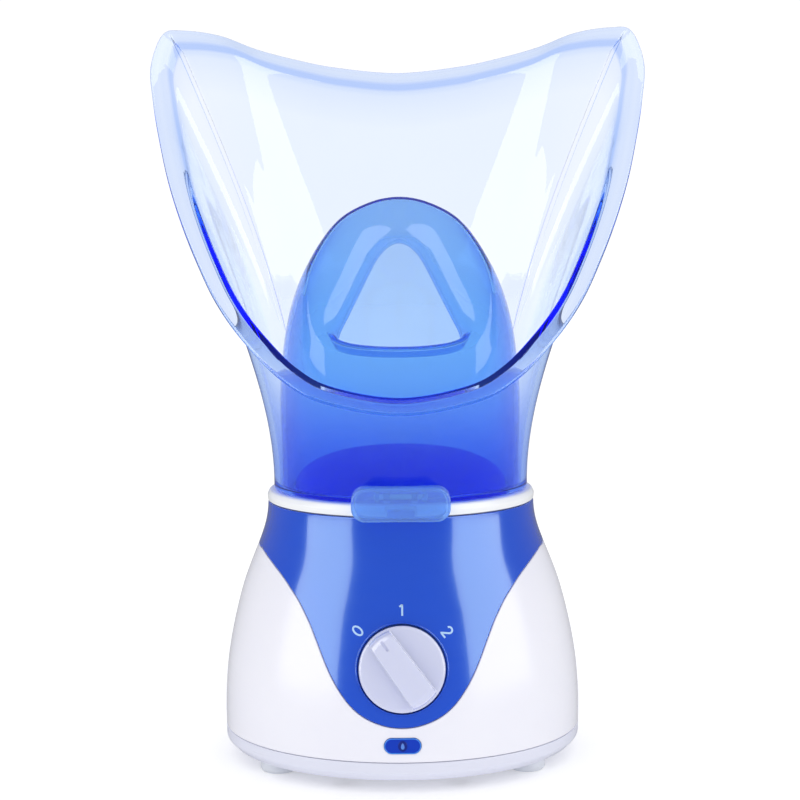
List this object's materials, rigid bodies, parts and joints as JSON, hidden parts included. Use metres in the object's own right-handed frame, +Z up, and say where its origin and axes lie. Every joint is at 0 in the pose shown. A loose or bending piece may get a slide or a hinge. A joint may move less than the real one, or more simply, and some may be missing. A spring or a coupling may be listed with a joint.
{
  "type": "facial steamer",
  "caption": "Table-top facial steamer with a round two-tone base, a rotary knob, a clear flared face hood hinged at the rear, a removable nose cone and a heated water cup inside.",
  "frame": {"origin": "on the table plane under the feet, on the axis of the round base", "axes": "+Z up, -Y is the front with the knob and the face opening, +X is the right side seen from the front"},
  "size_m": [0.2044, 0.1637, 0.287],
  "materials": {
    "white_abs": "smooth white ABS",
    "blue_abs": "high gloss blue plastic",
    "clear_blue_pc": "clear light blue polycarbonate",
    "cone_blue_pc": "clear deep blue polycarbonate",
    "tab_blue": "translucent blue plastic",
    "lens_blue": "clear deep blue plastic",
    "knob_white": "satin white plastic",
    "aluminium": "spun aluminium",
    "steel": "zinc plated steel",
    "element": "heater tube, oxidised",
    "silicone": "soft silicone",
    "foot_rubber": "pale rubber",
    "black_rubber": "black rubber",
    "phenolic": "black phenolic",
    "ivory_plastic": "ivory heat-proof plastic",
    "ceramic": "glazed ceramic",
    "lamp_glass": "clear glass",
    "resistor": "lacquered",
    "wire_brown": "PVC insulation",
    "wire_red": "silicone insulation",
    "wire_blue": "PVC insulation",
    "wire_white": "PVC insulation"
  },
  "bodies": {
    "base": {"base_shell": "white_abs", "blue_cover": "blue_abs", "bottom_plate": "white_abs", "rubber_feet": "foot_rubber", "bottom_screws": "steel", "cover_screws": "steel", "deck_screws": "steel", "steam_deck": "white_abs", "water_cup": "aluminium", "cup_seal": "silicone", "heater_plate": "aluminium", "heating_element": "element", "heater_bracket": "steel", "heater_screws": "steel", "thermostat": "phenolic", "thermal_fuse": "ceramic", "rotary_switch": "phenolic", "switch_nut": "steel", "indicator_lens": "lens_blue", "neon_lamp": "lamp_glass", "lamp_holder": "ivory_plastic", "lamp_resistor": "resistor", "terminal_block": "ivory_plastic", "cord_gland": "black_rubber", "wire_switch_feed": "wire_brown", "wire_heater_live": "wire_red", "wire_heater_neutral": "wire_blue", "lamp_leads": "wire_white", "hinge_pin": "steel"},
    "hood": {"face_hood": "clear_blue_pc", "hood_collar": "clear_blue_pc", "latch_pin": "steel"},
    "latch": {"latch_tab": "tab_blue"},
    "nose_cone": {"nose_cone": "cone_blue_pc"},
    "splash_guard": {"splash_guard": "cone_blue_pc"},
    "knob": {"knob": "knob_white", "switch_shaft": "steel", "knob_clip": "steel"}
  },
  "joints": [
    {"name": "hood_hinge", "type": "hinge", "parent": "base", "child": "hood", "pos_m": [0, 0.0565, 0.1065], "axis": [-1, 0, 0], "range_deg": [0, 80]},
    {"name": "latch_pivot", "type": "hinge", "parent": "hood", "child": "latch", "pos_m": [0, -0.0556, 0.1086], "axis": [-1, 0, 0], "range_deg": [0, 18]},
    {"name": "nose_cone_lift", "type": "slide", "parent": "hood", "child": "nose_cone", "axis": [0, 0, 1], "range_m": [0, 0.19]},
    {"name": "splash_guard_lift", "type": "slide", "parent": "base", "child": "splash_guard", "axis": [0, 0, 1], "range_m": [0, 0.012]},
    {"name": "knob_turn", "type": "hinge", "parent": "base", "child": "knob", "pos_m": [0, -0.0671, 0.0464], "axis": [0, 0.9833, -0.1822], "range_deg": [0, 90]}
  ]
}
